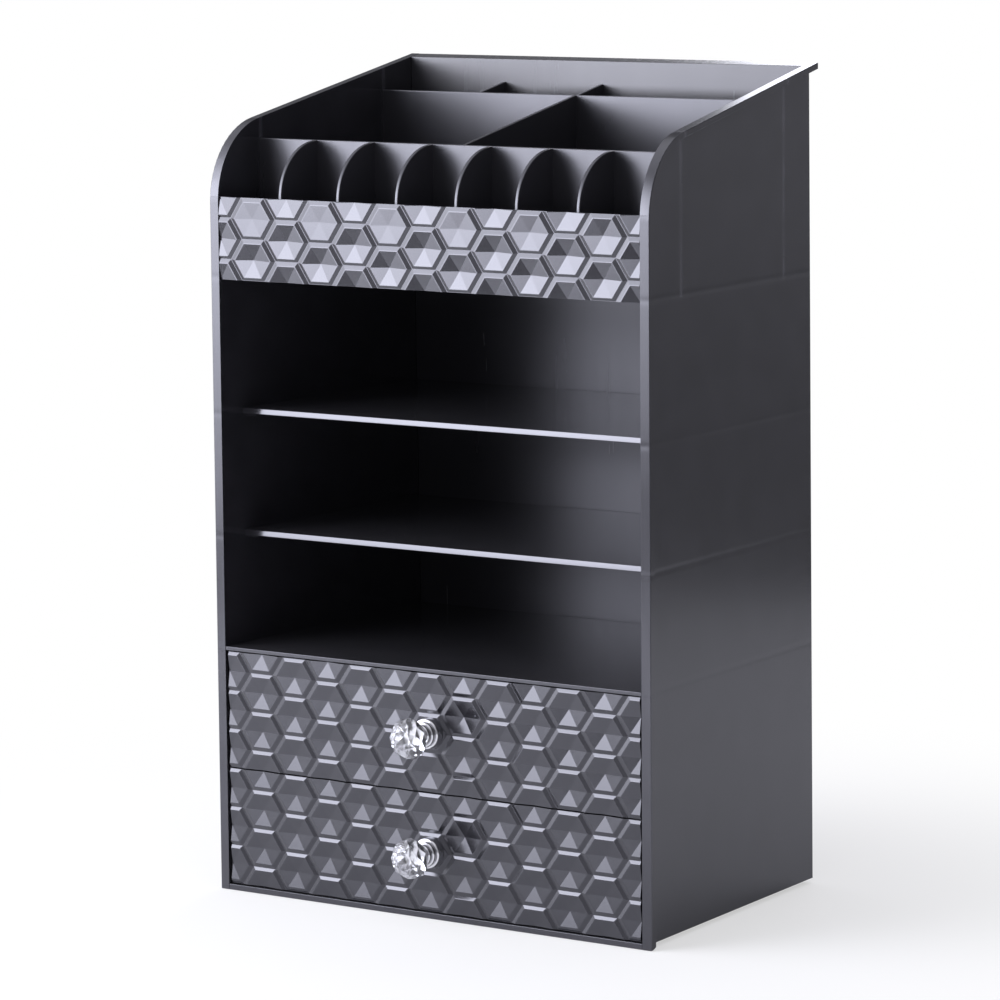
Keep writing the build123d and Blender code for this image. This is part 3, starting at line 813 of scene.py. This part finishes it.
def make_cell(pitch, row, y, crest_shift, pyramid):
    half_wide, half_edge, half_high = pitch * 2 / 3, pitch / 3, row / 2
    cell = new_circle("cell", 6, half_wide, ORIGIN, (pi / 2, pi / 6, 0.0))
    edit(cell)
    bpy.ops.mesh.select_all(action='SELECT')
    flatter = half_high / (half_wide * sin(pi / 3))
    bpy.ops.transform.resize(value=(1.0, 1.0, flatter), center_override=ORIGIN)
    bpy.ops.mesh.inset(thickness=GROOVE_FLOOR, depth=0.0)
    bpy.ops.mesh.inset(thickness=CREST_EDGE - GROOVE_FLOOR, depth=0.0)
    crest_high, crest_wide = half_high - CREST_EDGE, half_wide - CREST_CORNER
    crest_edge = crest_wide - half_edge * crest_high / half_high

    def on_crest(v):
        return (abs(v.co.z) < half_high - 0.5 * CREST_EDGE
                and abs(v.co.x) < half_wide - 0.5 * CREST_CORNER)

    for at_side, target in ((True, crest_wide), (False, crest_edge)):
        pick('VERT', lambda v: on_crest(v) and (abs(v.co.z) < NEAR) == at_side)
        mesh = bmesh.from_edit_mesh(cell.data)
        now = max(abs(v.co.x) for v in mesh.verts if v.select)
        bpy.ops.transform.resize(value=(target / now, 1.0, 1.0), center_override=ORIGIN)
    pick('VERT', on_crest)
    bpy.ops.transform.translate(value=(0.0, -GROOVE, crest_shift))
    pick('FACE', lambda f: abs(f.normal.y) > 0.999 and middle(f).y < -0.9 * GROOVE)
    bpy.ops.mesh.poke()
    pick('VERT', lambda v: abs(v.co.x) < NEAR and abs(v.co.z - crest_shift) < NEAR)
    bpy.ops.transform.translate(value=(0.0, pyramid, -crest_shift))
    pick('EDGE', lambda e: all(v.co.y < -0.99 * GROOVE for v in e.verts))
    bpy.ops.mesh.bevel(offset=CREST_ROUND, segments=3, affect='EDGES')
    bpy.ops.mesh.select_all(action='SELECT')
    bpy.ops.transform.translate(value=(0.0, y + GROOVE, 0.0))
    close()
    print("cell:", len(cell.data.polygons), "faces,", round(pitch / MM, 2), "x",
          round(row / MM, 2), "mm")
    return cell


# %% [markdown]
# The panel is a field of such cells in columns, every second column shifted by half a cell. The
# cells are merged at their groove lines into one sheet, the sheet is cut to the panel's
# rectangle straight through the cells, and its border is extruded to the rear and closed. The
# upper row of the strip has much flatter pyramids than the others, flattest at its left end, and
# the crests of the strip sit a little lower in their cells. The drawer fronts get a round seat
# for the knob and the hole of its screw.

# %% Panels from cells
PYRAMID = 1.2 * MM
TOP_PYRAMID_LEFT, TOP_PYRAMID_MORE = 0.28 * MM, 0.6 * MM
SEAT_RADIUS, SEAT_FRONT, SEAT_REAR = 7.9 * MM, 0.02 * MM, 0.1 * MM
HOLE_RADIUS = 2.0 * MM


def relief_panel(node_name, rows, odd_shifted, crest_shift=0.0, flat_top=False):
    # odd_shifted tells whether the odd or the even columns are the ones shifted by half a cell.
    low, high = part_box(node_name)
    pitch, row = (high.x - low.x) / COLUMNS, (high.z - low.z) / rows
    deep = make_cell(pitch, row, low.y, crest_shift, PYRAMID)
    flats = []
    for column in range(COLUMNS + 1 if flat_top else 0):
        depth = TOP_PYRAMID_LEFT + (column / COLUMNS) ** 3 * TOP_PYRAMID_MORE
        flats.append(make_cell(pitch, row, low.y, crest_shift, depth))
    copies = []
    for column in range(COLUMNS + 1):
        offset = 0.5 if (column % 2 == 1) == odd_shifted else 0.0
        for n in range(rows if offset else rows + 1):
            source = flats[column] if flats and offset and n == rows - 1 else deep
            copy = bpy.data.objects.new("cell_copy", source.data.copy())
            place = (low.x + column * pitch, 0.0, low.z + (n + offset) * row)
            copy.data.transform(Matrix.Translation(place))
            bpy.context.scene.collection.objects.link(copy)
            copies.append(copy)
    for source in [deep] + flats:
        bpy.data.objects.remove(source)
    choose(copies[0])
    for copy in copies:
        copy.select_set(True)
    bpy.ops.object.join()
    panel = bpy.context.object
    panel.name = panel.data.name = node_name + "_relief"
    edit(panel)
    bpy.ops.mesh.select_all(action='SELECT')
    bpy.ops.mesh.remove_doubles(threshold=NEAR)
    for corner, outwards in ((low, (-1, 0, 0)), (low, (0, 0, -1)),
                             (high, (1, 0, 0)), (high, (0, 0, 1))):
        bisect(corner, outwards, clear_outer=True, threshold=VERY_NEAR)
    bpy.ops.mesh.select_all(action='SELECT')
    bpy.ops.mesh.remove_doubles(threshold=NEAR)
    pick('EDGE', lambda e: e.is_boundary)
    extrude(0.0, high.y - low.y, 0.0)
    bpy.ops.transform.resize(value=(1.0, 0.0, 1.0), center_override=(0.0, high.y, 0.0))
    bpy.ops.mesh.edge_face_add()
    tidy_mesh()
    close()
    return panel


def cut_round(panel, operation, radius, y0, y1, z):
    # Adds or drills a round along Y at the middle of the panel.
    bpy.ops.object.select_all(action='DESELECT')
    place, rotation = (0.0, (y0 + y1) / 2, z), (pi / 2, 0.0, 0.0)
    bpy.ops.mesh.primitive_cylinder_add(vertices=64, radius=radius, depth=y1 - y0,
                                        location=place, rotation=rotation)
    tool = bpy.context.object
    apply_place()
    apply_modifier(panel, 'BOOLEAN', operation=operation, object=tool, solver='EXACT')
    bpy.data.objects.remove(tool)


fascia = relief_panel("fascia_panel", 2, True, crest_shift=-0.4 * MM, flat_top=True)
fascia.data.shade_flat()
finish(fascia, "fascia_panel", "cabinet", "patterned_plastic", relief_plastic)
for drawer in ("lower_drawer", "upper_drawer"):
    front = drawer + "_front"
    low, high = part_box(front)
    panel = relief_panel(front, 3, False)
    knob_z = centre_of(front, "Z")
    cut_round(panel, 'UNION', SEAT_RADIUS, low.y + SEAT_FRONT, high.y - SEAT_REAR, knob_z)
    cut_round(panel, 'DIFFERENCE', HOLE_RADIUS, low.y - MM, high.y + MM, knob_z)
    panel.data.shade_flat()
    finish(panel, front, drawer, "patterned_plastic", relief_plastic)

# %% [markdown]
# ## Knobs
# Each knob is a chromed foot of three stepped rings with a crystal on it. The foot is turned on
# a lathe in reality. A spin of its profile would work, but extruding and resizing one disc ring
# by ring keeps every step at hand: each pair below is a radius and how far it goes forwards, in
# millimetres. The screw hole is sunk from the rear, and the ring edges are then rounded, strongly
# at the front and a little at the rear.

# %% Knob feet
RINGS = ((7.4, 0.0), (7.4, 3.2), (5.8, 0.0), (5.8, 0.3),
         (6.4, 0.0), (6.4, 2.2), (4.8, 0.0), (4.8, 0.3),
         (5.4, 0.0), (5.4, 1.9), (4.6, 0.0), (4.6, 0.4))
RING_RADII, RING_FRONTS, RING_REARS = (7.4, 6.4, 5.4), (3.2, 5.7, 7.9), (3.5, 6.0)
FRONT_ROUND, REAR_ROUND = 0.95 * MM, 0.3 * MM
BORE_RADIUS, BORE_DEPTH = 1.85 * MM, 5.0 * MM


def is_one_of(value, places):
    return any(abs(value - place) < 0.01 for place in places)


def knob_foot(drawer):
    low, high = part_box(drawer + "_knob_base")
    axis_z = (low.z + high.z) / 2
    foot = new_circle(drawer + "_knob_foot", 96, RINGS[0][0] * MM, (0.0, high.y, axis_z),
                      (pi / 2, 0.0, 0.0))
    edit(foot)
    bpy.ops.mesh.select_all(action='SELECT')
    y = high.y
    for (before, _), (radius, step) in zip(RINGS, RINGS[1:]):
        extrude(0.0, -step * MM, 0.0)
        y -= step * MM
        wider = radius / before
        bpy.ops.transform.resize(value=(wider, 1.0, wider), center_override=(0.0, y, axis_z))
    pick('FACE', lambda f: middle(f).y > high.y - VERY_NEAR and abs(f.normal.y) > 0.9)
    bpy.ops.mesh.inset(thickness=RINGS[0][0] * MM - BORE_RADIUS)
    extrude(0.0, -BORE_DEPTH, 0.0)
    tidy_mesh()

    for places, rounding in ((RING_FRONTS, FRONT_ROUND), (RING_REARS, REAR_ROUND)):
        def on_ring_edge(edge):
            radius = [Vector((v.co.x, v.co.z - axis_z)).length / MM for v in edge.verts]
            depth = [(high.y - v.co.y) / MM for v in edge.verts]
            along = is_one_of(depth[0], depth[1:]) and is_one_of(radius[0], radius[1:])
            return along and is_one_of(depth[0], places) and is_one_of(radius[0], RING_RADII)
        pick('EDGE', on_ring_edge)
        bpy.ops.mesh.bevel(offset=rounding, segments=5, affect='EDGES')
    close()
    soften(foot, 0.0, smooth=35.0)
    finish(foot, drawer + "_knob_base", drawer, "chrome", chrome)


for drawer in ("lower_drawer", "upper_drawer"):
    knob_foot(drawer)

# %% [markdown]
# A crystal is cut with flat facets that meet in points. All its corners lie on seven rings, each
# turned by half a step against the one before, so the rings are added as plain circles and
# wrapped in their convex hull, which is what a cutter's facets amount to. Each ring below has a
# radius, how far it lies forwards, both in millimetres, and 1 where it is turned. The rear facets
# get the silvering.

# %% Crystals
SIDES = 8
CUT = ((4.4, 0.05, 0), (7.8, 3.6, 1), (10.0, 7.2, 0), (10.0, 8.4, 1), (9.2, 10.6, 0),
       (7.4, 12.6, 1), (4.8, 13.9, 0))
SILVER_DEPTH = 7.0 * MM
ONE_FACET = radians(1.0)


def cut_crystal(drawer):
    low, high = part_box(drawer + "_knob_crystal")
    axis_z = (low.z + high.z) / 2
    stone = None
    for radius, height, turned in CUT:
        place = (0.0, high.y - height * MM, axis_z)
        rotation = (pi / 2, pi / SIDES * turned, 0.0)
        if stone is None:
            stone = new_circle(drawer + "_knob_stone", SIDES, radius * MM, place, rotation,
                               fill='NOTHING')
            edit(stone)
        else:
            bpy.ops.mesh.primitive_circle_add(vertices=SIDES, radius=radius * MM,
                                              fill_type='NOTHING', location=place,
                                              rotation=rotation)
    bpy.ops.mesh.select_all(action='SELECT')
    bpy.ops.mesh.convex_hull(delete_unused=True, join_triangles=True, face_threshold=ONE_FACET,
                             shape_threshold=ONE_FACET)
    tidy_mesh()
    close()
    stone.data.shade_flat()
    finish(stone, drawer + "_knob_crystal", drawer, "crystal", crystal, silver)
    for face in stone.data.polygons:
        face.material_index = 1 if face.center.y > high.y - SILVER_DEPTH else 0


for drawer in ("lower_drawer", "upper_drawer"):
    cut_crystal(drawer)

# %% [markdown]
# Last, the size of the box around everything shown is printed, beside the engineering model's
# own box printed at the start.

low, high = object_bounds()
print("size:", [round(b - a, 4) for a, b in zip(low, high)])
